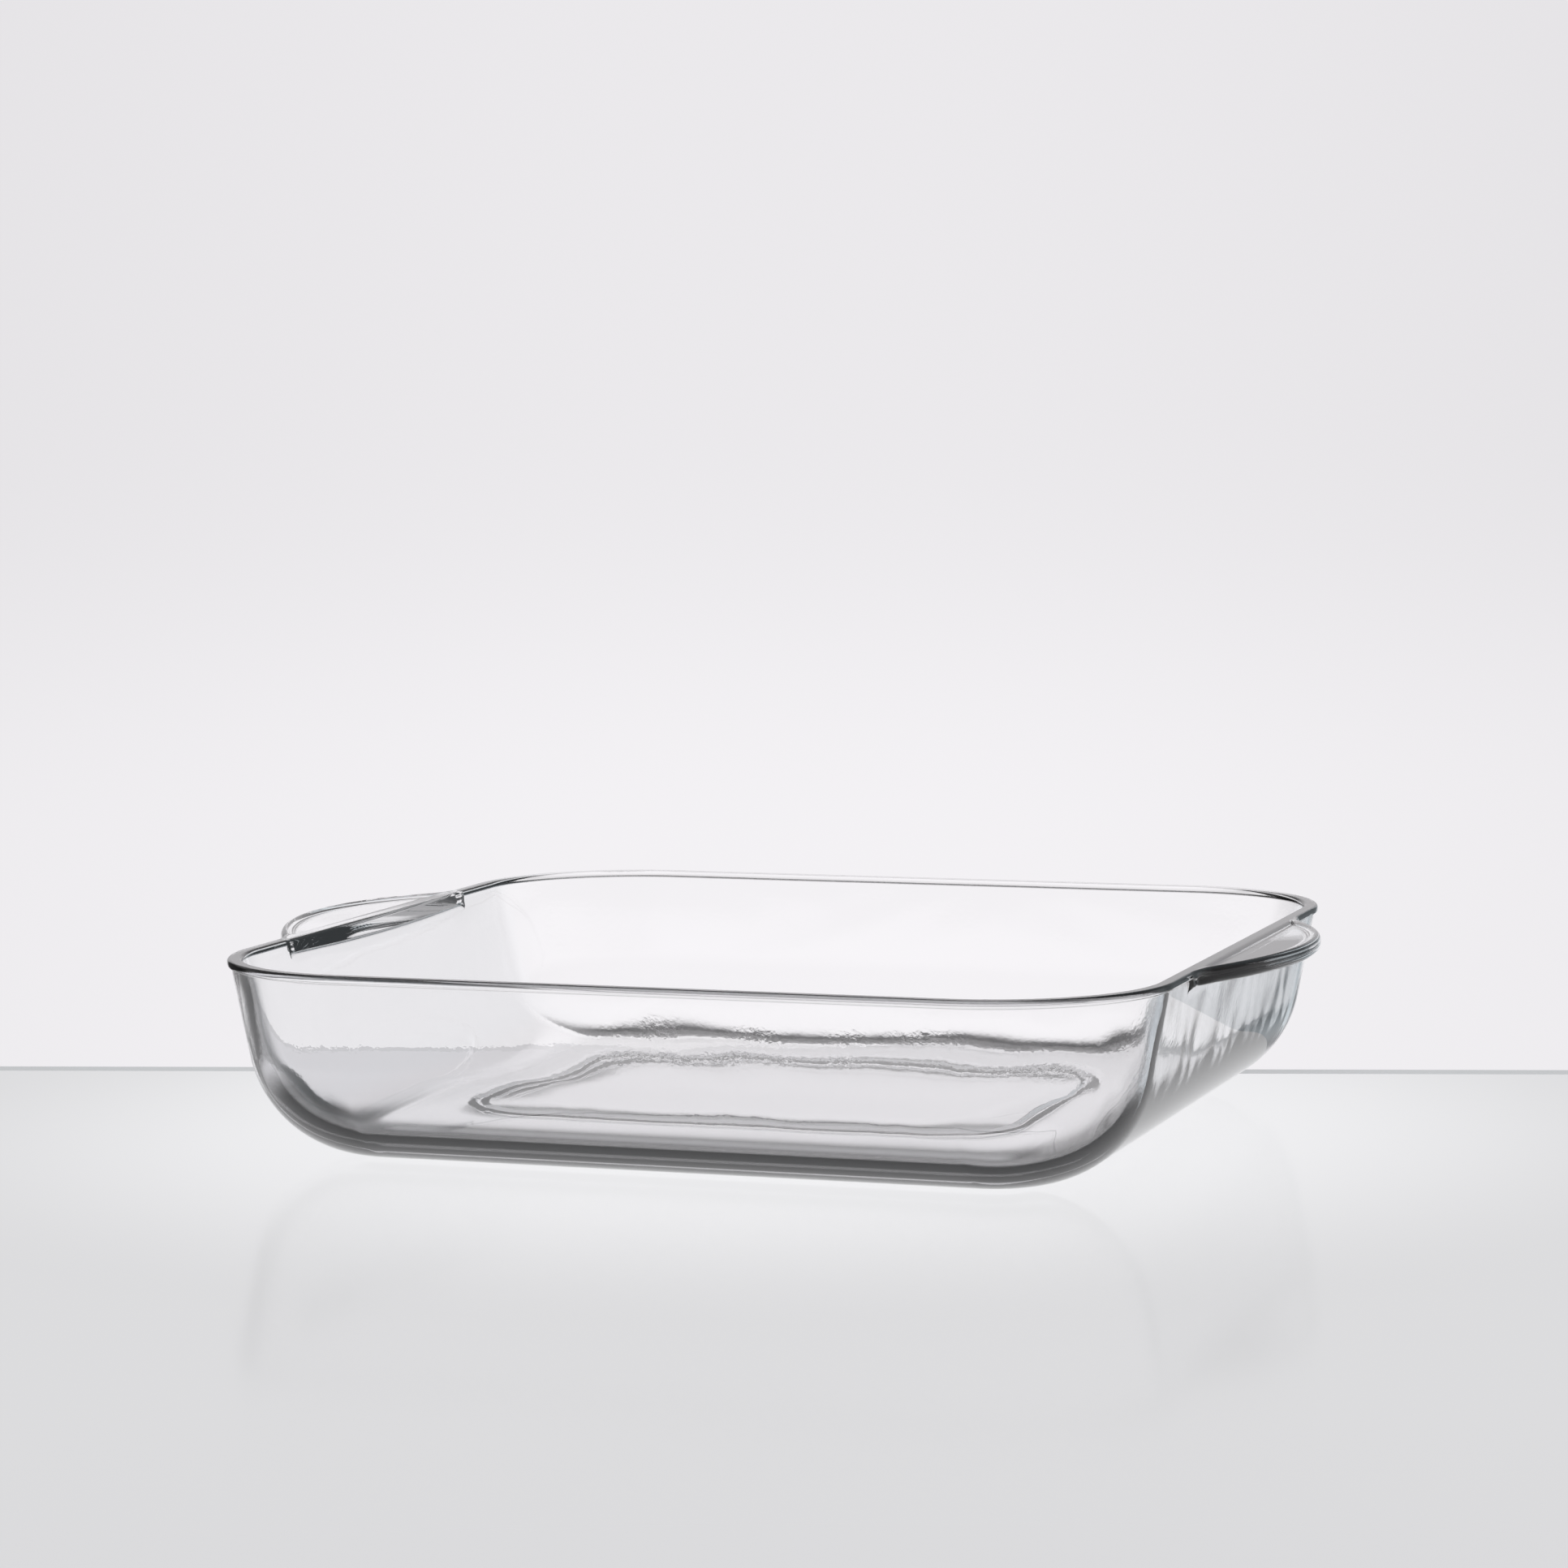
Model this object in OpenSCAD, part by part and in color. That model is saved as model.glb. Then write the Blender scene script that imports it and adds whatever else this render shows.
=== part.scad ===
// Square glass baking dish: one piece of pressed glass, with a tab handle at each side.
// X runs from handle to handle, Y from front to back and Z up from the table.
// The origin is the centre of the base.

/* [Basin] */
// Width over the rim, without the handles
body_w = 280; // [220:1:360]
// Depth over the rim, front to back
body_d = 280; // [220:1:360]
// Height from the table to the top of the rim
rim_z = 58.5; // [50:0.5:75]
// Radius of the four upright corners, measured round the rim
corner_r = 51; // [42:1:70]
// Thickness of the wall at the rim
wall_t = 3.3; // [2.5:0.1:6]
// Thickness of the floor
floor_t = 5.5; // [4:0.1:8]
// Lean of the outside of the wall, in degrees from upright
outer_lean = 11; // [6:0.1:13]
// Lean of the inside of the wall, in degrees from upright
inner_lean = 12.2; // [6:0.1:14]
// Radius of the turn from the wall to the base, on the outside
heel_r = 36; // [20:1:40]

/* [Rim] */
// Distance that the rim bead stands out from the wall
bead_w = 1.1; // [0.8:0.1:3]
// Height of the rim bead
bead_h = 2.3; // [2:0.1:5]
// Rounding of the bead's outer edges
bead_r = 0.9; // [0.4:0.1:1]
// Rounding of the rim's inner edge
lip_r = 1.4; // [0.6:0.1:1.6]

/* [Handles] */
// Distance that a handle stands out from the rim
handle_reach = 19; // [12:0.5:26]
// Length of a handle along the rim
handle_l = 122; // [90:1:140]
// Thickness of a handle
handle_t = 5; // [4.2:0.1:8]
// Tilt of a handle, up towards its edge, in degrees
handle_tilt = 2.5; // [0:0.1:6]
// Rounding of a handle's outer edge
handle_edge_r = 2; // [0.8:0.1:2]
// Depth of the shallow dish in a handle's top
dimple_depth = 0.8; // [0.3:0.1:1.2]
// Width of the raised border between the dimple and the handle's edge
dimple_border_w = 3.4; // [2.4:0.1:6]
// Radius of the rounded root under a handle
root_r = 1.8; // [1:0.1:3]
// Length of the root along the wall
root_l = 133; // [90:1:150]
// Radius of the sweep from the rim into a handle's edge, seen from above
flare_r = 26; // [8:1:40]

/* [Foot] */
// Width between the middles of the foot ring's sides
foot_ring_w = 168; // [120:1:176]
// Depth between the middles of the foot ring's front and back
foot_ring_d = 131; // [100:1:176]
// Radius of the foot ring's corners, along its middle
foot_corner_r = 24; // [8:1:30]
// Width of the foot ring where it leaves the base
foot_w = 5; // [3.5:0.5:12]
// Width of the flat that stands on the table
foot_flat_w = 1.6; // [1:0.2:3]
// Height of the foot ring below the base
foot_h = 1; // [0.6:0.1:1.5]

/* [Hidden] */
$fn = 96;

// Overrun of every cut past the face it opens
over = 1;
// Bite of the handle's sweep into the faces it joins, so that they cross
flare_bite = 0.3;
// Share of its radius by which a rounded edge stands past the faces it joins, so that they cross
blend_share = 0.001;

// The wall's section is drawn outward from the axis of a corner, with the table at zero.
wall_top = rim_z - bead_h;
floor_top = foot_h + floor_t;
outer_top_x = corner_r - bead_w;
inner_top_x = outer_top_x - wall_t;

// Where the faces of the wall would meet the base and the floor if the turns were sharp
heel_corner_x = outer_top_x - (wall_top - foot_h) * tan(outer_lean);
cove_corner_x = inner_top_x - (rim_z - floor_top) * tan(inner_lean);

// Radii of the turns, held down so that they end before the corner's axis
heel = min(heel_r, heel_corner_x * tan((90 + outer_lean) / 2));
cove = min(heel - (wall_t + floor_t) / 2, cove_corner_x * tan((90 + inner_lean) / 2));

// Handle: the arc of its edge, seen from above and measured in its own tilted plane
handle_arc_r = (pow(handle_l / 2, 2) + pow(handle_reach, 2)) / (2 * handle_reach);
handle_arc_x = handle_reach - handle_arc_r;
// A handle grows out of the middle of the wall
handle_root_x = -bead_w - wall_t / 2;
// Sweep from the rim into the handle's edge
flare_x = flare_r - flare_bite;
flare_y = sqrt(pow(handle_arc_r + flare_r - flare_bite, 2) - pow(flare_x - handle_arc_x, 2));
flare_end_y = flare_y * handle_arc_r / (handle_arc_r + flare_r);

// Angle at which the quarter turn of a corner starts, for the signs of its place in X and Y
function corner_start(sx, sy) = sx > 0 ? (sy > 0 ? 0 : 270) : (sy > 0 ? 90 : 180);

// Unit vector at an angle
function along(angle) = [cos(angle), sin(angle)];

// Inside of the wall at height z
function inner_x(z) = inner_top_x - (rim_z - z) * tan(inner_lean);

// What rounding a corner of an outline takes away.
// The outline's two edges leave the corner p at the angles a and b, with b the larger.
module corner_waste(p, a, b, r) {
    half = (b - a) / 2;
    centre = p + r / sin(half) * along((a + b) / 2);
    to_a = p + r / tan(half) * along(a) - centre;
    to_b = p + r / tan(half) * along(b) - centre;
    difference() {
        polygon([centre, centre + 2 * to_a, centre + 2 * (p - centre), centre + 2 * to_b]);
        translate(centre) circle(r * (1 + blend_share));
    }
}

// The outside of the basin, up to the rim, with the heel and the bead rounded
module outer_section()
    difference() {
        polygon([[0, foot_h], [heel_corner_x, foot_h], [outer_top_x, wall_top],
                 [corner_r, wall_top], [corner_r, rim_z], [0, rim_z]]);
        corner_waste([heel_corner_x, foot_h], 90 - outer_lean, 180, heel);
        corner_waste([corner_r, rim_z], 180, 270, bead_r);
        corner_waste([corner_r, wall_top], 90, 180, bead_r);
    }

// The hollow above the inside of the basin
module inner_section() {
    top_z = rim_z + over;
    difference() {
        polygon([[-over, floor_top], [cove_corner_x, floor_top], [inner_x(top_z), top_z], [-over, top_z]]);
        corner_waste([cove_corner_x, floor_top], 90 - inner_lean, 180, cove);
    }
}

// Floor, turn, wall and rim in one section
module basin_section()
    difference() {
        outer_section();
        inner_section();
        corner_waste([inner_top_x, rim_z], -90 - inner_lean, 0, lip_r);
    }

// One straight side, drawn outward along X and run along Y
module straight_side(run)
    translate([0, run / 2, 0])
        rotate([90, 0, 0])
            linear_extrude(height = run) basin_section();

// The basin: four corners, four straight sides and the middle of the floor
module basin() {
    run_x = body_w - 2 * corner_r;
    run_y = body_d - 2 * corner_r;
    for (sx = [-1, 1], sy = [-1, 1])
        translate([sx * run_x / 2, sy * run_y / 2, 0])
            rotate_extrude(angle = 90, start = corner_start(sx, sy)) basin_section();
    for (turn = [0, 180])
        rotate([0, 0, turn]) translate([run_x / 2, 0, 0]) straight_side(run_y);
    for (turn = [90, 270])
        rotate([0, 0, turn]) translate([run_y / 2, 0, 0]) straight_side(run_x);
    translate([-run_x / 2, -run_y / 2, foot_h]) cube([run_x, run_y, floor_t]);
}

// A handle's section, drawn outward from the centre of its arc, with a rounded outer edge
module handle_section()
    difference() {
        translate([0, -handle_t]) square([handle_arc_r, handle_t]);
        corner_waste([handle_arc_r, 0], 180, 270, handle_edge_r);
        corner_waste([handle_arc_r, -handle_t], 90, 180, handle_edge_r);
    }

// What the sweep leaves free, drawn outward from the centre of its circle
module flare_waste() {
    translate([0, -bead_h - over]) square([flare_r, bead_h + 2 * over]);
    corner_waste([flare_r, 0], -90, 0, bead_r);
    corner_waste([flare_r, -bead_h], 0, 90, bead_r);
}

// The sweep at one end of a handle, where the bead runs out into the handle's edge
module flare()
    difference() {
        translate([handle_root_x, flare_end_y, -bead_h])
            cube([flare_x - handle_root_x, flare_y - flare_end_y, bead_h]);
        translate([flare_x, flare_y, 0]) rotate_extrude() flare_waste();
    }

// The shallow dish in the top of a handle, a crescent inside its edge
module dimple()
    intersection() {
        translate([handle_arc_x, 0, -dimple_depth])
            cylinder(r = handle_arc_r - dimple_border_w, h = dimple_depth + over);
        translate([0, -handle_l / 2, -dimple_depth]) cube([handle_reach, handle_l, dimple_depth + over]);
    }

// The rounded root that carries a handle on the wall
module handle_root()
    translate([-bead_w, root_l / 2, -handle_t]) rotate([90, 0, 0]) cylinder(r = root_r, h = root_l);

// One handle, on the side where X is positive, tilted about the outer edge of the rim's top
module handle()
    translate([body_w / 2, 0, rim_z]) {
        rotate([0, -handle_tilt, 0]) difference() {
            intersection() {
                translate([handle_arc_x, 0, 0]) rotate_extrude() handle_section();
                translate([handle_root_x, -handle_l, -handle_t - over])
                    cube([handle_reach - handle_root_x + over, 2 * handle_l, handle_t + 2 * over]);
            }
            dimple();
        }
        flare();
        mirror([0, 1, 0]) flare();
        handle_root();
    }

// The foot ring's section: a low ridge with sloped sides, sunk a little into the base
module foot_section()
    polygon([[-foot_w / 2, foot_h + over], [-foot_w / 2, foot_h], [-foot_flat_w / 2, 0],
             [foot_flat_w / 2, 0], [foot_w / 2, foot_h], [foot_w / 2, foot_h + over]]);

// One straight side of the foot ring, at a distance from the middle of the base
module foot_side(distance, run)
    translate([distance, run / 2, 0])
        rotate([90, 0, 0]) linear_extrude(height = run) foot_section();

// The foot ring: a rectangle with round corners that carries the dish
module foot_ring() {
    run_x = foot_ring_w - 2 * foot_corner_r;
    run_y = foot_ring_d - 2 * foot_corner_r;
    for (turn = [0, 180])
        rotate([0, 0, turn]) foot_side(foot_ring_w / 2, run_y);
    for (turn = [90, 270])
        rotate([0, 0, turn]) foot_side(foot_ring_d / 2, run_x);
    for (sx = [-1, 1], sy = [-1, 1])
        translate([sx * run_x / 2, sy * run_y / 2, 0])
            rotate_extrude(angle = 90, start = corner_start(sx, sy))
                translate([foot_corner_r, 0]) foot_section();
}

// The whole dish is one solid piece of glass
module glass_dish()
    color([0.86, 0.9, 0.9, 0.4]) {
        basin();
        foot_ring();
        handle();
        mirror([1, 0, 0]) handle();
    }

glass_dish();
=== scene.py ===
# Square glass baking dish on a pale shelf, in metres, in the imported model's frame.
from math import cos, hypot, pi, radians, sin, sqrt, tan

import bmesh
import bpy
import numpy as np
from mathutils import Matrix, Vector


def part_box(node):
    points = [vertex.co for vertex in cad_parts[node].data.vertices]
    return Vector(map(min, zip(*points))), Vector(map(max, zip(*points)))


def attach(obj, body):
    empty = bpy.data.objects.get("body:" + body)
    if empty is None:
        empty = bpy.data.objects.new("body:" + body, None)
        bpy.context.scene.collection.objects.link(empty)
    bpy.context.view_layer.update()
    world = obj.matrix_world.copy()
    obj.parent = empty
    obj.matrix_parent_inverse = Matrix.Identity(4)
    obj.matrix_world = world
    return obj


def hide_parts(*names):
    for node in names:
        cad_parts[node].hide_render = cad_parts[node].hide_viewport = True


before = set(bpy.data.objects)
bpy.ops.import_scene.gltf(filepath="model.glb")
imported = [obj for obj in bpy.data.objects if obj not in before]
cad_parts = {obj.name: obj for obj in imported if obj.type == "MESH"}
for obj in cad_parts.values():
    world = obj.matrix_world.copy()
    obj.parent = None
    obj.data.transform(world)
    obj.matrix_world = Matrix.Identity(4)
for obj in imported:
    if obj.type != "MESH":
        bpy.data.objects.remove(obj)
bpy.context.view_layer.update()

MM = 0.001
NODE = "glass_dish"

# The basin is square, and its rim is level. The handles rise a little above it.
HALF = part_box(NODE)[1].y
TOP = 58.5 * MM

# Basin
CORNER_R = 51 * MM
WALL_T = 3.3 * MM
FLOOR_T = 5.5 * MM
OUTER_LEAN = radians(11)
INNER_LEAN = radians(12.2)
HEEL_R = 36 * MM

# Rim
BEAD_W = 1.1 * MM
BEAD_H = 2.3 * MM
BEAD_R = 0.9 * MM
LIP_R = 1.4 * MM

# Handles
REACH = 19 * MM
HANDLE_L = 122 * MM
HANDLE_T = 4.8 * MM
HANDLE_R = 2.0 * MM
TILT = radians(2.5)
UNDER_SLOPE = radians(3.3)
ROOT_R = 1.2 * MM
FLARE_R = 26 * MM

# Reach over which the edge's rounding grows from the bead's to the handle's
ROUNDING_REACH = 4 * MM

# Shallow dish in the top of a handle
DIMPLE = 0.8 * MM
DIMPLE_BORDER = 3.4 * MM
DIMPLE_SIDE = 2.6 * MM
DIMPLE_LEAD = 0.4 * MM

# Lower half of a handle's edge, with its blunt ends, and the seam above it
RIB_INSET = 0.1 * MM
RIB_END = 66.5 * MM
RIB_R = 2.6 * MM
RIB_CORNER = 2.4 * MM
SEAM = 0.16 * MM
SEAM_INSET = 0.6 * SEAM

# Most that a rounding may take of the step or width that it stands on
FOLD_SHARE = 0.7
EDGE_SHARE = 0.3
ROOT_SHARE = 0.65

# Gentle waves of the pressed inside, with the heights over which they fade in and out
WAVE = 0.055 * MM
WAVE_L = 60 * MM
RIPPLE = 0.02 * MM
RIPPLE_L = 13 * MM
WAVE_START = 16 * MM
WAVE_FADE_IN = 16 * MM
WAVE_FADE_OUT = 8 * MM

# Fine stipple of the pressed inside. It comes in over a span of heights, in patches, and a plane
# at a share of the wall's thickness parts the inside from the outside.
STIPPLE = 0.018 * MM
STIPPLE_L = 1.6 * MM
STIPPLE_REACH = (16 * MM, 32 * MM)
MIDDLE_SHARE = 0.55
PATCH_L = 22 * MM
PATCH_NOISE = (0.42, 0.62)
PATCH_LEAST = 0.25

# Foot ring
FOOT_HALF_X = 84 * MM
FOOT_HALF_Y = 65.5 * MM
FOOT_R = 24 * MM
FOOT_W = 6.5 * MM
FOOT_FLAT = 0.3 * MM
FOOT_H = 1.0 * MM

# Steps in each stretch of the wall's section
COVE_STEPS = 26
INSIDE_STEPS = 16
LIP_STEPS = 7
TOP_STEPS = 25
EDGE_STEPS = 8
FOLD_STEPS = 4
RIB_STEPS = 3
LOWER_STEPS = 7
UNDER_STEPS = 9
ROOT_STEPS = 6
OUTSIDE_STEPS = 8
HEEL_STEPS = 30

# Steps round a corner, across the foot ring and from the turn of the wall to the foot ring
CORNER_STEPS = 56
FOOT_STEPS = 16
BASE_STEPS = 4

# Spacing along a side, by distance from a handle's end, and last of all further away
END_SPACING = ((1.5 * MM, 0.25 * MM), (14 * MM, 0.8 * MM))
SIDE_SPACING = 1.6 * MM
LAST_GAP = 0.3 * MM

# Rings of the floor and the base, as shares of the way out from the middle
FLOOR_SHARES = (0.06, 0.2, 0.35, 0.5, 0.65, 0.8, 0.92)
BASE_SHARES = (0.8, 0.6, 0.4, 0.2, 0.06)

# Glass
GLASS_IOR = 1.474

# Shelf, with its back edge behind the middle of the dish and a darker strip along that edge
SHELF_TURN = radians(15)
SHELF_BACK = 0.1005
SHELF_FRONT = 1.2
SHELF_HALF = 1.4
SHELF_T = 8 * MM
STRIP = 9 * MM
SHELF_COLOUR = (0.86, 0.86, 0.875)
STRIP_COLOUR = (0.6, 0.63, 0.63)

# What the glass shows through the shelf's top, its strip and its sides
SHELF_TINT = (0.955, 0.955, 0.96)
STRIP_TINT = (0.85, 0.85, 0.85)
SIDE_TINT = (0.8, 0.8, 0.81)

# The ramps of the shelf run over Layer Weight's facing, from 0 square on to 1 edge on
CLEAR_TOP = (0.62, 0.72)
CLEAR_SIDE = (-1.0, 0.0)
PALE_RAMP = (0.5, 0.78)
PAINTED_SHADOW_RAMP = (0.09, 0.19)

# Painted sheen of the shelf at low angles: a pale glow, not a reflection, which fades over a
# span of distances from the dish's middle, and the faint real mirror image in it
SHELF_PALE = (0.89, 0.89, 0.905)
PALE_FALL = (0.1, 0.3)
PALE_FAR = 0.8
TOP_GLOW_AND_MIRROR = 1.0
STRIP_GLOW_AND_MIRROR = 0.4
MIRROR_SHARE = 0.09
MIRROR_COLOUR = (0.97, 0.97, 0.975)
MIRROR_ROUGH = 0.12

# Painted shadow that the glass sees under the turn of the wall and round the dish, a nearly
# black glow fixed to the dish's place: where it comes in and where it ends, as distances out
# from the square between the corners' axes
PAINTED_SHADOW_INNER = (1 * MM, 8 * MM)
PAINTED_SHADOW_OUTER = (50 * MM, 95 * MM)
PAINTED_SHADOW_COLOUR = (0.008, 0.008, 0.009)

# Camera, from the photograph's perspective
AZIMUTH = radians(19.03)
ELEVATION = radians(5.18)
ROLL = radians(-0.48)
DISTANCE = 1.357
TARGET = Vector((-2.93 * MM, 0, 101.9 * MM))
FOCAL_PX = 5553.0
FRAME_PX = 1932.0
SENSOR = 36.0
CLIP_END = 50

# The world is a pale backdrop all round for the camera. The glass sees it bright behind the
# dish, dark beside and below that, most of all at the left, pale further round and further
# down, and dim overhead. For light that falls on matt surfaces it is bright overhead.
# Angles are in degrees, in the direction that the camera looks along: straight ahead and level
# is zero, with right and up positive.

# Levels over height: a span of heights, then the level at its start and at its end
BACKDROP = ((-7.0, 0.5), (0.9, 0.83))
BRIGHT = ((-8.2, -6.8), (0.92, 0.88))
BRIGHT_LOW = ((-14.0, -10.5), (1.07, 1.0))
BRIGHT_HIGH = ((-6.0, 0.5), (1.0, 0.84))
GLOW = ((1.0, 9.0), (0.03, 0.12))

# The backdrop's fall to both sides, and where it gives way to the dark beside it
FALL = ((1.0, 14.0), (1.0, 0.94))
BESIDE_START = (16.0, 28.0)

# Beside the backdrop, from left to right, with the dark wider at the left by an angle
ACROSS = (-10.0, 10.0)
BESIDE_LEFT = 0.08
BESIDE_RIGHT = 0.36
LEFT_WIDER = 10.0

# Further round
ROUND_START = (42.0, 62.0)
ROUND = 0.8

# Above the backdrop and overhead, for the glass and for matt surfaces
ABOVE_START = (12.0, 22.0)
ABOVE = 0.38
OVERHEAD_START = (40.0, 60.0)
OVERHEAD = 0.3
OVERHEAD_MATT = 1.2

# The backdrop's lower edge, which lies higher to both sides than ahead, and what is below it
HORIZON_SPAN = (4.0, 22.0)
HORIZON_AHEAD = -16.5
HORIZON_ASIDE = -12.5
HORIZON_BLUR = (-3.5, 2.0)
BELOW_ACROSS = (8.0, 24.0)
BELOW = 0.05
BELOW_RIGHT = 0.7
UNDER_END = (-36.0, -26.0)
UNDER = 0.85

# Colour of the light, cooler in the glass over a span to the right
TINT = (1.0, 0.982, 1.008)
COOL = (0.9, 0.98, 1.04)
COOL_START = (10.0, 26.0)
COOL_END = (50.0, 75.0)

# Worked out from the sizes above
ARC_R = ((HANDLE_L / 2) ** 2 + REACH ** 2) / (2 * REACH)
ARC_X = HALF + REACH - ARC_R
FLARE_X = HALF + FLARE_R
FLARE_Y = sqrt((ARC_R + FLARE_R) ** 2 - (FLARE_X - ARC_X) ** 2)
FLARE_START = FLARE_Y * ARC_R / (ARC_R + FLARE_R)
AXIS = HALF - CORNER_R
WALL_TOP = TOP - BEAD_H
FLOOR_TOP = FOOT_H + FLOOR_T
OUTER_TOP_X = CORNER_R - BEAD_W
INNER_TOP_X = OUTER_TOP_X - WALL_T
# Where the plane that parts the wall's inside from its outside meets the table
WALL_MIDDLE = OUTER_TOP_X - WALL_T * MIDDLE_SHARE - WALL_TOP * tan(OUTER_LEAN)
# A place along a side that lies past any handle
NO_HANDLE = 10 * HALF


def smooth(t):
    """0 to 1 with level ends."""
    t = min(max(t, 0.0), 1.0)
    return t * t * (3 - 2 * t)


def mix(a, b, t):
    return a + (b - a) * t


def between(a, b, steps):
    """Values at even steps from a to b, without a and b themselves."""
    return [mix(a, b, k / steps) for k in range(1, steps)]


def arc(x, z, radius, start, end, steps):
    """Points round a centre, from one angle to another."""
    angles = [mix(start, end, k / steps) for k in range(steps + 1)]
    return [(x + radius * cos(a), z + radius * sin(a)) for a in angles]


def inner_x(z):
    """Inside of the wall at height z, outward from a corner's axis."""
    return INNER_TOP_X - (TOP - z) * tan(INNER_LEAN)


def outer_x(z):
    """Outside of the wall at height z, outward from a corner's axis."""
    return OUTER_TOP_X - (WALL_TOP - z) * tan(OUTER_LEAN)


def base_turn(corner_x, z, lean, radius, steps):
    """Points of the turn from the level at height z up to the leaning wall."""
    centre_x = corner_x - radius / tan((pi / 2 + lean) / 2)
    return arc(centre_x, z + radius, radius, -pi / 2, -lean, steps)


COVE_R = HEEL_R - (WALL_T + FLOOR_T) / 2
COVE = base_turn(inner_x(FLOOR_TOP), FLOOR_TOP, INNER_LEAN, COVE_R, COVE_STEPS)
HEEL = base_turn(outer_x(FOOT_H), FOOT_H, OUTER_LEAN, HEEL_R, HEEL_STEPS)
INSIDE_POINTS = len(COVE) + INSIDE_STEPS


def arc_x(y):
    """Plan of a handle's edge: its X at Y, or far inside the dish where the arc has ended."""
    return ARC_X + sqrt(max(ARC_R ** 2 - y * y, 0.0))


def edge_x(y):
    """Plan of the rim's outer edge at a handle, with the sweep from the rim into the handle."""
    y = abs(y)
    if y >= FLARE_Y:
        return HALF
    if y > FLARE_START:
        return FLARE_X - sqrt(FLARE_R ** 2 - (FLARE_Y - y) ** 2)
    return arc_x(y)


def edge_depth(x, y):
    """Distance in from a handle's edge, measured towards the centre of its arc."""
    return ARC_R - hypot(x - ARC_X, y)


def top_z(x, y):
    """Height of the rim's and a handle's top, with the handle's tilt and shallow dimple."""
    from_rim = smooth((x - HALF + DIMPLE_LEAD) / DIMPLE_SIDE)
    from_edge = smooth((edge_depth(x, y) - DIMPLE_BORDER + DIMPLE_SIDE / 2) / DIMPLE_SIDE)
    return TOP + max(x - HALF, 0.0) * tan(TILT) - DIMPLE * from_rim * from_edge


def lower_share(y, height):
    """How much of the handle's lower half stands at y, at a height above its lowest point.

    It is all there along the handle, and falls to nothing round its blunt, rounded end."""
    low = min(max(1 - height / RIB_CORNER, 0.0), 1.0)
    end = RIB_END - RIB_CORNER * (1 - sqrt(1 - low * low))
    past = min(max((abs(y) - end + RIB_R) / RIB_R, 0.0), 1.0)
    return sqrt(1 - past * past)


def waves(run, z):
    """How far the inside of the wall stands off its even shape, at a run along the wall.

    Slower sines bend and weaken the waves, so that they don't repeat evenly."""
    along, up = 2 * pi * run / WAVE_L, 2 * pi * z / WAVE_L
    wave = sin(along + 1.3 * sin(0.37 * along + up)) * sin(1.7 * up + 0.6 + sin(0.53 * along))
    along, up = 2 * pi * run / RIPPLE_L, 2 * pi * z / RIPPLE_L
    strength = 0.6 + 0.4 * sin(0.2 * up + sin(0.23 * along))
    ripple = strength * sin(along + 1.1 * sin(0.31 * along + 0.4 * up))
    fade = smooth((z - WAVE_START) / WAVE_FADE_IN) * smooth((TOP - LIP_R - z) / WAVE_FADE_OUT)
    return fade * (WAVE * wave + RIPPLE * ripple)


def handle_lower_half(y, lower, seam_z, bottom):
    """The handle's lower edge, its sloping underside and the fillet into the wall."""
    width = lower - outer_x(bottom - ROOT_R)
    edge_r = min(HANDLE_R, EDGE_SHARE * width)
    root_r = min(ROOT_R, ROOT_SHARE * width)
    depth = max(edge_depth(HALF, y) - edge_r, 0.0)
    root_z = bottom - depth * tan(UNDER_SLOPE) - (lower - CORNER_R) * tan(TILT)
    root_x = outer_x(root_z - root_r * (1 - sin(OUTER_LEAN))) + root_r * cos(OUTER_LEAN)
    points = []
    for k in range(RIB_STEPS):
        inset = SEAM_INSET * (1 - smooth(k / (RIB_STEPS - 1)))
        z = mix(seam_z - SEAM_INSET, bottom + edge_r, k / RIB_STEPS)
        points.append((lower - inset, z))
    points += arc(lower - edge_r, bottom + edge_r, edge_r, 0, -pi / 2, LOWER_STEPS)
    under_x = between(lower - edge_r, root_x, UNDER_STEPS)
    under_z = between(bottom, root_z, UNDER_STEPS)
    points += zip(under_x, under_z)
    points += arc(root_x, root_z - root_r, root_r, pi / 2, pi - OUTER_LEAN, ROOT_STEPS)
    return points


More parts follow.
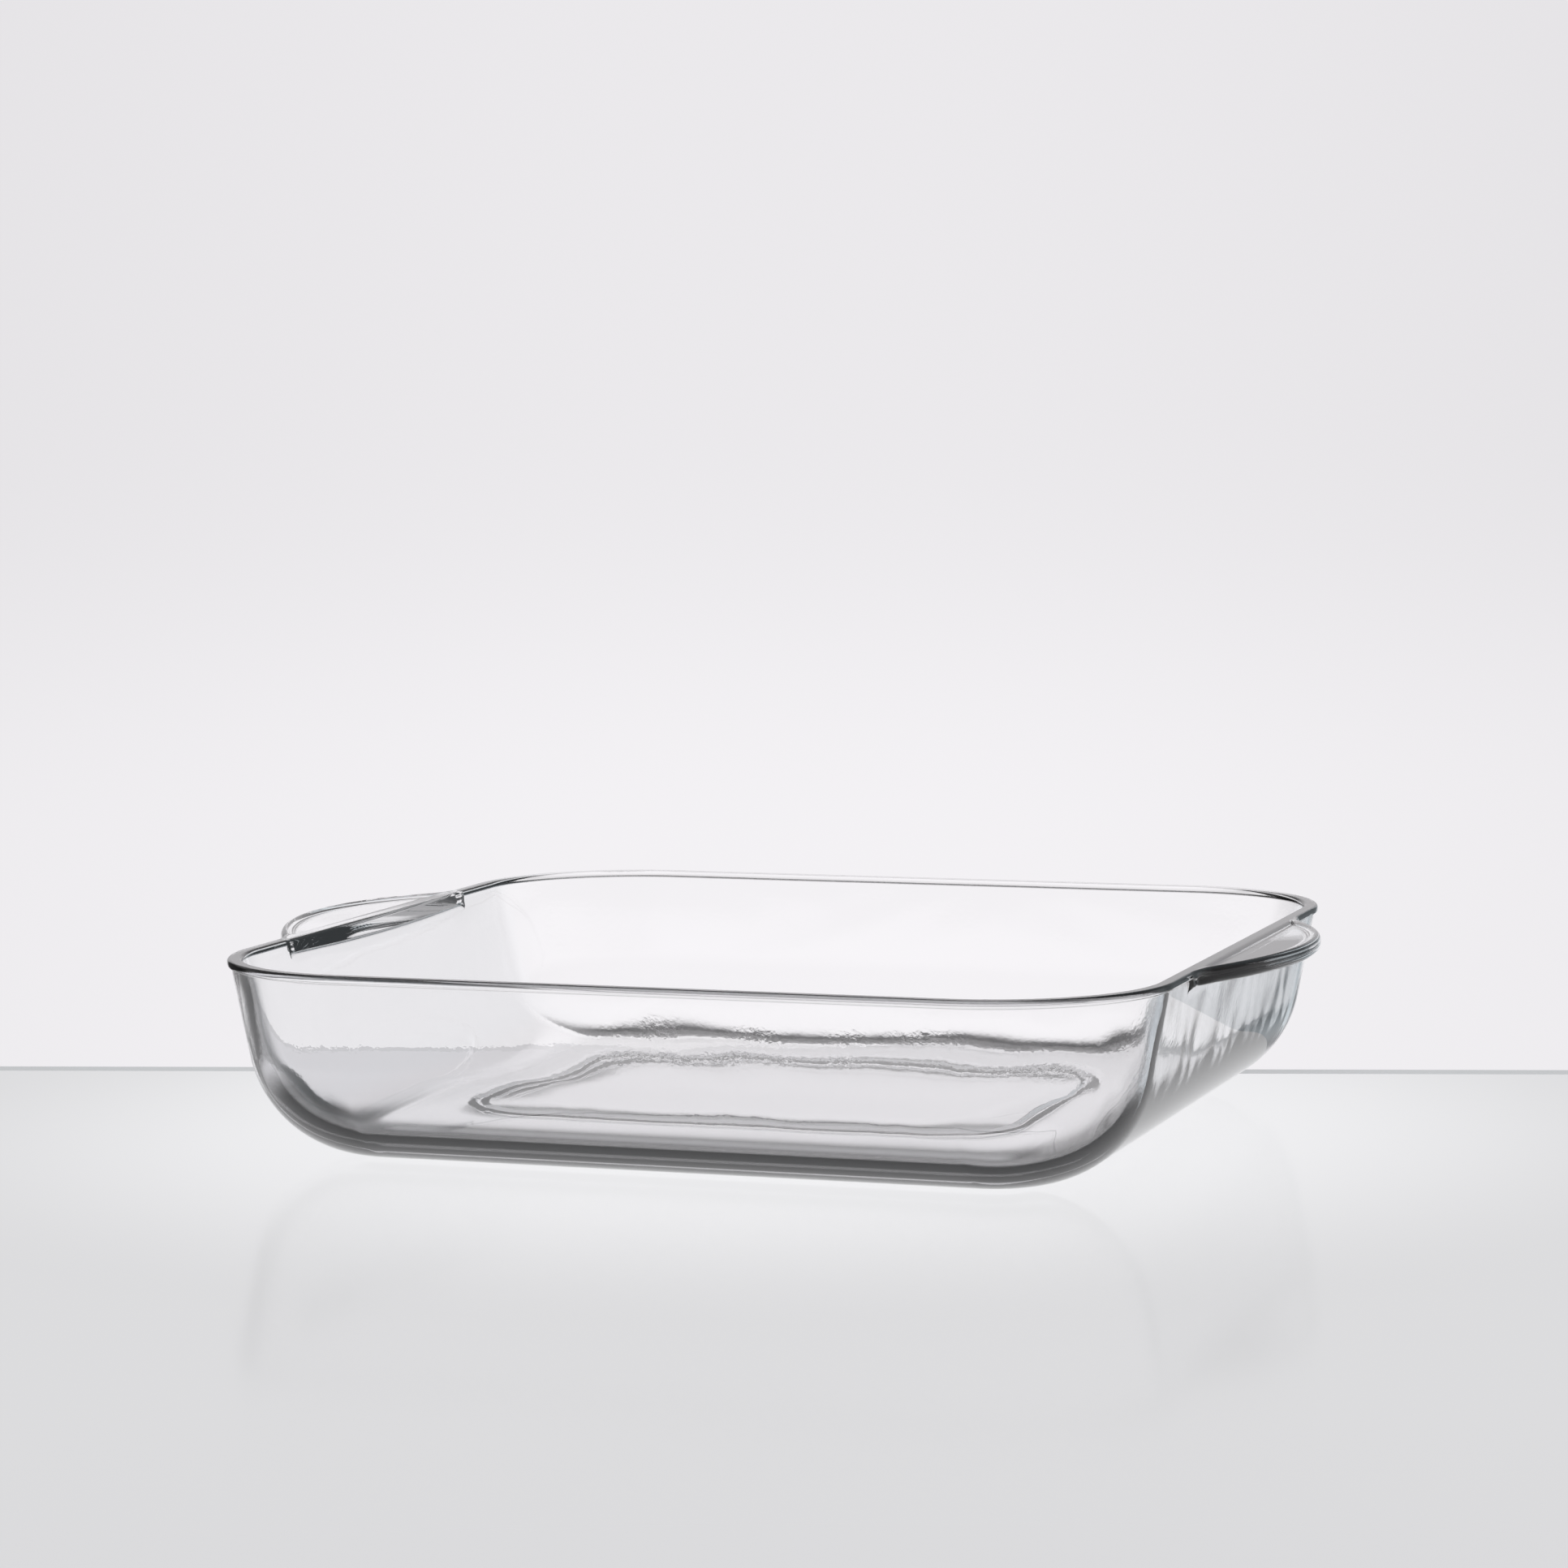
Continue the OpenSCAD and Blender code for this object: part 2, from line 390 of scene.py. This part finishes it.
def section(y):
    """The wall's section at place y along a handle side, outward from the corner's axis.

    It runs from the inside of the floor, up the inside, over the rim or handle and down the
    outside to the base. A large y gives the section of a side without a handle."""
    # Inside of the wall and its lip
    lip_z = TOP - LIP_R * (1 - sin(INNER_LEAN))
    lip_x = INNER_TOP_X - LIP_R * tan(INNER_LEAN) + LIP_R / cos(INNER_LEAN)
    points = list(COVE)
    points += [(inner_x(z), z) for z in between(COVE[-1][1], lip_z, INSIDE_STEPS)]
    points += arc(lip_x, TOP - LIP_R, LIP_R, pi - INNER_LEAN, pi / 2, LIP_STEPS)
    # Top, and the upper edge of the rim or handle
    beyond = edge_x(y) - HALF
    edge = edge_x(y) - AXIS
    rise = beyond * tan(TILT)
    round_r = mix(BEAD_R, HANDLE_R, smooth(beyond / ROUNDING_REACH))
    flat_end = edge - round_r
    points += [(x, top_z(x + AXIS, y)) for x in between(lip_x, flat_end, TOP_STEPS)]
    points += arc(flat_end, TOP + rise - round_r, round_r, pi / 2, 0, EDGE_STEPS)
    # Step from the bead down to the lower half of the handle, or the bead's underside
    lower = max(arc_x(y) - AXIS, CORNER_R - RIB_INSET)
    step = edge - mix(OUTER_TOP_X, lower, lower_share(y, HANDLE_T))
    fold_r = min(max(step * FOLD_SHARE, SEAM), BEAD_R)
    seam_z = WALL_TOP + rise
    points += arc(edge - fold_r, seam_z + fold_r, fold_r, 0, -pi / 2, FOLD_STEPS)
    # Lower half of the handle. On a plain wall its points lie spread over the wall.
    shape = handle_lower_half(y, lower, seam_z, TOP + rise - HANDLE_T)
    end_z = shape[-1][1]
    for k, (x, z) in enumerate(shape, 1):
        wall_z = mix(WALL_TOP, WALL_TOP - HANDLE_T, k / len(shape))
        share = lower_share(y, z - end_z)
        points.append((mix(outer_x(wall_z), x, share), mix(wall_z, z, share)))
    # Outside of the wall and the turn into the base
    points += [(outer_x(z), z) for z in between(points[-1][1], HEEL[-1][1], OUTSIDE_STEPS)]
    points += HEEL[::-1]
    return points


def spacing(y):
    """Distance from place y along a side to the next place."""
    from_end = abs(abs(y) - RIB_END + RIB_R / 2)
    for reach, step in END_SPACING:
        if from_end < reach:
            return step
    return SIDE_SPACING


def side_places():
    """Places along a straight side, as shares from -1 to 1, closer together at a handle's ends."""
    places = []
    y = -AXIS
    while y < AXIS - LAST_GAP:
        places.append(y / AXIS)
        y += spacing(y)
    return places


SIDE = side_places()


def outline(half_x, half_y, radius):
    """Rounded rectangle, anticlockwise from the corner at +X -Y, as rows of (x, y, nx, ny)."""
    run_x, run_y = half_x - radius, half_y - radius
    ring = []
    for quarter, (nx, ny) in enumerate(((1, 0), (0, 1), (-1, 0), (0, -1))):
        for share in SIDE:
            x = nx * half_x - ny * share * run_x
            y = ny * half_y + nx * share * run_y
            ring.append((x, y, nx, ny))
        corner_x, corner_y = (nx - ny) * run_x, (nx + ny) * run_y
        for k in range(CORNER_STEPS):
            a = (quarter + k / CORNER_STEPS) * pi / 2
            ring.append((corner_x + radius * cos(a), corner_y + radius * sin(a), cos(a), sin(a)))
    return np.array(ring)


def foot_profile():
    """Offsets across the foot ring, outward, and how far each lies below the base."""
    offsets = [FOOT_W / 2 * (1 - 2 * k / FOOT_STEPS) for k in range(FOOT_STEPS + 1)]
    slope = (FOOT_W - FOOT_FLAT) / 2
    return [(out, FOOT_H * smooth((FOOT_W / 2 - abs(out)) / slope)) for out in offsets]


def wall_rings():
    """The section's points as rings round the dish, from the inside to the outside."""
    plan = outline(HALF, HALF, CORNER_R)
    steps = np.hypot(*np.diff(plan[:, :2], axis=0, prepend=plan[:1, :2]).T)
    sections = {}
    columns = []
    for (x, y, nx, ny), run in zip(plan, np.cumsum(steps)):
        # Only the two sides across X have a handle, and both halves of a side are alike
        place = round(abs(y), 6) if abs(nx) == 1 else NO_HANDLE
        if place not in sections:
            sections[place] = section(place)
        column = []
        for i, (out, z) in enumerate(sections[place]):
            if i < INSIDE_POINTS:
                out += waves(run, z)
            column.append((x + nx * (out - CORNER_R), y + ny * (out - CORNER_R), z))
        columns.append(column)
    return list(np.array(columns).transpose(1, 0, 2))


def base_rings(wall_end):
    """Rings from the end of the outside turn, over the foot ring and on to the middle."""
    foot = []
    for out, drop in foot_profile():
        plan = outline(FOOT_HALF_X + out, FOOT_HALF_Y + out, FOOT_R + out)
        foot.append(np.column_stack([plan[:, :2], np.full(len(plan), FOOT_H - drop)]))
    return between(wall_end, foot[0], BASE_STEPS) + foot + [foot[-1] * (s, s, 1) for s in BASE_SHARES]


def dish_mesh():
    """One closed surface: the floor, the wall, the base, and a fan in the middle of each."""
    wall = wall_rings()
    floor = [wall[0] * (s, s, 1) for s in FLOOR_SHARES]
    rings = floor + wall + base_rings(wall[-1])
    count = len(wall[0])
    last = (len(rings) - 1) * count
    floor_middle = len(rings) * count
    base_middle = floor_middle + 1
    around = [(j, (j + 1) % count) for j in range(count)]
    faces = []
    for start in range(0, last, count):
        end = start + count
        faces += [(start + j, start + n, end + n, end + j) for j, n in around]
    for j, n in around:
        faces.append((floor_middle, n, j))
        faces.append((base_middle, last + j, last + n))
    points = np.concatenate(rings + [[(0, 0, FLOOR_TOP), (0, 0, FOOT_H)]])
    mesh = bpy.data.meshes.new("dish")
    mesh.from_pydata([tuple(point) for point in points], [], faces)
    mesh.validate()
    work = bmesh.new()
    work.from_mesh(mesh)
    bmesh.ops.recalc_face_normals(work, faces=work.faces)
    work.to_mesh(mesh)
    work.free()
    mesh.polygons.foreach_set("use_smooth", [True] * len(mesh.polygons))
    return mesh


def feed(tree, socket, value):
    """Links a socket to another node's output, or sets it to a number or colour."""
    if isinstance(value, bpy.types.NodeSocket):
        tree.links.new(value, socket)
    else:
        socket.default_value = value


def add_node(tree, kind, **inputs):
    """A node of a kind, with its inputs set from numbers, colours and sockets."""
    node = tree.nodes.new(kind)
    for name, value in inputs.items():
        feed(tree, node.inputs[name.replace("_", " ")], value)
    return node


def ramp(tree, value, span, low=0.0, high=1.0):
    """A smooth change from low to high as the value goes through a span."""
    node = add_node(tree, "ShaderNodeMapRange", Value=value, From_Min=span[0], From_Max=span[1],
                    To_Min=low, To_Max=high)
    node.interpolation_type = "SMOOTHSTEP"
    return node.outputs[0]


def change(tree, value, span, low, high):
    """A ramp between two levels, each a number or a socket, that is steeper in its middle."""
    return ramp(tree, ramp(tree, value, span), (0.0, 1.0), low, high)


def maths(tree, operation, *values):
    """A Math node's output, from sockets and numbers."""
    node = tree.nodes.new("ShaderNodeMath")
    node.operation = operation
    for socket, value in zip(node.inputs, values):
        feed(tree, socket, value)
    return node.outputs[0]


def vector_maths(tree, operation, *values):
    """The number that a Vector Math node gives, from sockets and vectors."""
    node = tree.nodes.new("ShaderNodeVectorMath")
    node.operation = operation
    for socket, value in zip(node.inputs, values):
        feed(tree, socket, value)
    return node.outputs["Value"]


def mix_shaders(tree, share, first, second):
    node = tree.nodes.new("ShaderNodeMixShader")
    for socket, value in zip(node.inputs, (share, first, second)):
        feed(tree, socket, value)
    return node.outputs[0]


def from_square(tree, place):
    """Distance out from the square between the axes of the dish's four corners."""
    parts = add_node(tree, "ShaderNodeSeparateXYZ", Vector=place).outputs
    squares = []
    for part in parts[:2]:
        past = maths(tree, "MAXIMUM", maths(tree, "SUBTRACT", maths(tree, "ABSOLUTE", part), AXIS), 0.0)
        squares.append(maths(tree, "MULTIPLY", past, past))
    return maths(tree, "SQRT", maths(tree, "ADD", *squares))


def glass_material():
    """Clear glass, with the fine stipple of the pressed inside of the walls."""
    material = bpy.data.materials.new("clear_glass")
    material.use_nodes = True
    tree = material.node_tree
    shader = tree.nodes["Principled BSDF"]
    shader.inputs["Base Color"].default_value = (1, 1, 1, 1)
    shader.inputs["Roughness"].default_value = 0.0
    shader.inputs["IOR"].default_value = GLASS_IOR
    shader.inputs["Transmission Weight"].default_value = 1.0
    place = tree.nodes.new("ShaderNodeTexCoord").outputs["Object"]
    z = add_node(tree, "ShaderNodeSeparateXYZ", Vector=place).outputs[2]
    middle = maths(tree, "MULTIPLY_ADD", z, tan(OUTER_LEAN), WALL_MIDDLE)
    inside = maths(tree, "LESS_THAN", from_square(tree, place), middle)
    noise = add_node(tree, "ShaderNodeTexNoise", Vector=place, Scale=1 / STIPPLE_L, Detail=2.0)
    patches = add_node(tree, "ShaderNodeTexNoise", Vector=place, Scale=1 / PATCH_L, Detail=1.0)
    patch = ramp(tree, patches.outputs[0], PATCH_NOISE, PATCH_LEAST, 1.0)
    strength = maths(tree, "MULTIPLY", inside, ramp(tree, z, STIPPLE_REACH))
    strength = maths(tree, "MULTIPLY", strength, patch)
    bump = add_node(tree, "ShaderNodeBump", Strength=strength, Distance=STIPPLE, Height=noise.outputs[0])
    tree.links.new(bump.outputs[0], shader.inputs["Normal"])
    return material


def matt_with_painted_shadow(tree, place, facing, matt):
    """The shelf's matt surface, and a painted shadow of the dish where it isn't seen straight from
    above.
    """
    out = from_square(tree, place)
    # Painted shadow: a nearly black emission in a ring round the dish's base, fixed to its place
    shadow = ramp(tree, out, PAINTED_SHADOW_INNER)
    shadow = maths(tree, "MULTIPLY", shadow, ramp(tree, out, PAINTED_SHADOW_OUTER, 1.0, 0.0))
    shadow = maths(tree, "MULTIPLY", shadow, ramp(tree, facing, PAINTED_SHADOW_RAMP))
    dark = add_node(tree, "ShaderNodeEmission", Color=(*PAINTED_SHADOW_COLOUR, 1), Strength=1.0)
    return mix_shaders(tree, shadow, matt, dark.outputs[0])


def shelf_material(name, colour, glow_and_mirror, tint, clear_ramp):
    """The pale shelf: matt, with a painted sheen, a pale glow, and a faint mirror image at low angles.

    Rays in the dish's glass see a painted shadow of the dish, and pass through the shelf at low
    angles, as they do through a shelf of glass. Reflections show it as the pale painted glow."""
    material = bpy.data.materials.new(name)
    material.use_nodes = True
    tree = material.node_tree
    place = tree.nodes.new("ShaderNodeTexCoord").outputs["Object"]
    facing = add_node(tree, "ShaderNodeLayerWeight", Blend=0.5).outputs["Facing"]
    shader = tree.nodes["Principled BSDF"]
    shader.inputs["Base Color"].default_value = (*colour, 1)
    shader.inputs["Roughness"].default_value = 1.0
    shader.inputs["Specular IOR Level"].default_value = 0.0
    matt = shader.outputs[0]
    # Seen by the camera: the matt surface, and at low angles a painted sheen, a pale glow that is
    # dimmer away from the dish's middle, with a faint real mirror image
    fall = ramp(tree, vector_maths(tree, "LENGTH", place), PALE_FALL, 1.0, PALE_FAR)
    pale = add_node(tree, "ShaderNodeEmission", Color=(*SHELF_PALE, 1), Strength=fall).outputs[0]
    mirror = add_node(tree, "ShaderNodeBsdfAnisotropic", Color=(*MIRROR_COLOUR, 1),
                      Roughness=MIRROR_ROUGH).outputs[0]
    low = mix_shaders(tree, MIRROR_SHARE, pale, mirror)
    direct = mix_shaders(tree, ramp(tree, facing, PALE_RAMP, 0.0, glow_and_mirror), matt, low)
    # Seen through the dish's glass, with the painted shadow
    ground = matt_with_painted_shadow(tree, place, facing, matt)
    clear = add_node(tree, "ShaderNodeBsdfTransparent", Color=(*tint, 1)).outputs[0]
    through = mix_shaders(tree, ramp(tree, facing, clear_ramp), ground, clear)
    rays = tree.nodes.new("ShaderNodeLightPath").outputs
    # Reflections see the shelf as the pale painted glow, not as it is lit
    outside = mix_shaders(tree, rays["Is Glossy Ray"], direct, pale)
    surface = mix_shaders(tree, rays["Is Transmission Ray"], outside, through)
    tree.links.new(surface, tree.nodes["Material Output"].inputs["Surface"])
    return material


def shelf_mesh():
    """The shelf as a slab, turned in plan, with the strip along the back edge of its top."""
    along_x = Vector((cos(SHELF_TURN), sin(SHELF_TURN), 0))
    along_y = Vector((-sin(SHELF_TURN), cos(SHELF_TURN), 0))
    rows = (-SHELF_FRONT, SHELF_BACK - STRIP, SHELF_BACK)
    corners = [along_x * x + along_y * y + Vector((0, 0, z))
               for z in (-SHELF_T, 0) for y in rows for x in (-SHELF_HALF, SHELF_HALF)]
    top, strip, side, front = range(4)
    # Top and strip, back side and front side, underside, and the two ends
    faces = {(6, 7, 9, 8): top, (8, 9, 11, 10): strip,
             (10, 11, 5, 4): side, (0, 1, 7, 6): front,
             (4, 5, 1, 0): side,
             (0, 6, 8, 10, 4): side, (1, 5, 11, 9, 7): side}
    mesh = bpy.data.meshes.new("shelf")
    mesh.from_pydata(corners, [], list(faces))
    for name, colour, glow_and_mirror, tint, clear_ramp in (
            ("shelf", SHELF_COLOUR, TOP_GLOW_AND_MIRROR, SHELF_TINT, CLEAR_TOP),
            ("shelf_strip", STRIP_COLOUR, STRIP_GLOW_AND_MIRROR, STRIP_TINT, CLEAR_TOP),
            ("shelf_side", STRIP_COLOUR, STRIP_GLOW_AND_MIRROR, SIDE_TINT, CLEAR_SIDE),
            ("shelf_front", SHELF_COLOUR, TOP_GLOW_AND_MIRROR, SHELF_TINT, CLEAR_SIDE)):
        mesh.materials.append(shelf_material(name, colour, glow_and_mirror, tint, clear_ramp))
    for polygon, slot in zip(mesh.polygons, faces.values()):
        polygon.material_index = slot
    return mesh


def make_camera():
    """A camera with the photograph's place, turn and lens."""
    back = Vector((sin(AZIMUTH) * cos(ELEVATION), -cos(AZIMUTH) * cos(ELEVATION), sin(ELEVATION)))
    right = (-back).cross(Vector((0, 0, 1))).normalized()
    up = right.cross(-back)
    rolled_right = cos(ROLL) * right + sin(ROLL) * up
    rolled_up = -sin(ROLL) * right + cos(ROLL) * up
    turn = Matrix((rolled_right, rolled_up, back)).transposed().to_4x4()
    data = bpy.data.cameras.new("camera")
    data.sensor_width = SENSOR
    data.lens = SENSOR * FOCAL_PX / FRAME_PX
    data.clip_end = CLIP_END
    camera = bpy.data.objects.new("camera", data)
    camera.matrix_world = Matrix.Translation(TARGET + back * DISTANCE) @ turn
    return camera


def world_angles(tree):
    """A direction's angle from straight ahead, to the right, and its height, in degrees."""
    direction = tree.nodes.new("ShaderNodeTexCoord").outputs["Generated"]
    ahead = vector_maths(tree, "DOT_PRODUCT", direction, (-sin(AZIMUTH), cos(AZIMUTH), 0))
    across = vector_maths(tree, "DOT_PRODUCT", direction, (cos(AZIMUTH), sin(AZIMUTH), 0))
    upward = vector_maths(tree, "DOT_PRODUCT", direction, (0, 0, 1))
    turned = maths(tree, "MULTIPLY", maths(tree, "ARCTAN2", across, ahead), 180 / pi)
    height = maths(tree, "MULTIPLY", maths(tree, "ARCSINE", upward), 180 / pi)
    return turned, height


def world_level(tree, turned, height, rays):
    """The strength of the world's light, for the camera and for the glass and matt surfaces."""
    aside = maths(tree, "ABSOLUTE", turned)
    wider = change(tree, turned, ACROSS, LEFT_WIDER, 0.0)
    round_aside = maths(tree, "SUBTRACT", aside, wider)
    fall = ramp(tree, aside, FALL[0], *FALL[1])
    # Bright backdrop behind the dish, then dark beside it and pale further round
    bright = change(tree, height, BRIGHT[0], *BRIGHT[1])
    for span, levels in (BRIGHT_LOW, BRIGHT_HIGH):
        bright = maths(tree, "MULTIPLY", bright, change(tree, height, span, *levels))
    glow = change(tree, height, GLOW[0], *GLOW[1])
    bright = maths(tree, "ADD", maths(tree, "MULTIPLY", bright, fall), glow)
    beside = change(tree, turned, ACROSS, BESIDE_LEFT, BESIDE_RIGHT)
    beside = change(tree, round_aside, ROUND_START, beside, ROUND)
    level = change(tree, aside, BESIDE_START, bright, beside)
    # Above and overhead
    overhead = change(tree, rays["Diffuse Depth"], (0.0, 1.0), OVERHEAD, OVERHEAD_MATT)
    above = change(tree, height, OVERHEAD_START, ABOVE, overhead)
    level = change(tree, height, ABOVE_START, level, above)
    # Below the backdrop's lower edge
    below = change(tree, turned, BELOW_ACROSS, BELOW, BELOW_RIGHT)
    below = change(tree, round_aside, ROUND_START, below, ROUND)
    below = change(tree, height, UNDER_END, UNDER, below)
    horizon = ramp(tree, aside, HORIZON_SPAN, HORIZON_AHEAD, HORIZON_ASIDE)
    level = change(tree, maths(tree, "SUBTRACT", height, horizon), HORIZON_BLUR, below, level)
    # The camera sees the plain backdrop all round
    backdrop = maths(tree, "MULTIPLY", change(tree, height, BACKDROP[0], *BACKDROP[1]), fall)
    return change(tree, rays["Is Camera Ray"], (0.0, 1.0), level, backdrop)


def world_colour(tree, turned, rays):
    """A near-white light, a little cooler to the right for all but the camera."""
    start = ramp(tree, turned, COOL_START)
    end = ramp(tree, turned, COOL_END, 1.0, 0.0)
    not_camera = maths(tree, "SUBTRACT", 1.0, rays["Is Camera Ray"])
    share = maths(tree, "MULTIPLY", maths(tree, "MULTIPLY", start, end), not_camera)
    colour = tree.nodes.new("ShaderNodeMix")
    colour.data_type = "RGBA"
    feed(tree, colour.inputs["Factor"], share)
    for socket, value in zip(colour.inputs[6:8], (TINT, COOL)):
        socket.default_value = (*value, 1)
    return colour.outputs[2]


def studio_world():
    """Soft studio light from all round, with no lamps."""
    world = bpy.data.worlds.new("studio")
    world.use_nodes = True
    tree = world.node_tree
    rays = tree.nodes.new("ShaderNodeLightPath").outputs
    turned, height = world_angles(tree)
    background = tree.nodes["Background"]
    tree.links.new(world_colour(tree, turned, rays), background.inputs["Color"])
    tree.links.new(world_level(tree, turned, height, rays), background.inputs["Strength"])
    return world


scene = bpy.context.scene
dish = bpy.data.objects.new("pressed_glass_dish", dish_mesh())
dish.data.materials.append(glass_material())
camera = make_camera()
shelf = bpy.data.objects.new("shelf", shelf_mesh())
for thing in (dish, camera, shelf):
    scene.collection.objects.link(thing)

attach(dish, "root")
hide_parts(NODE)

scene.camera = camera
scene.world = studio_world()
scene.view_settings.view_transform = "Standard"
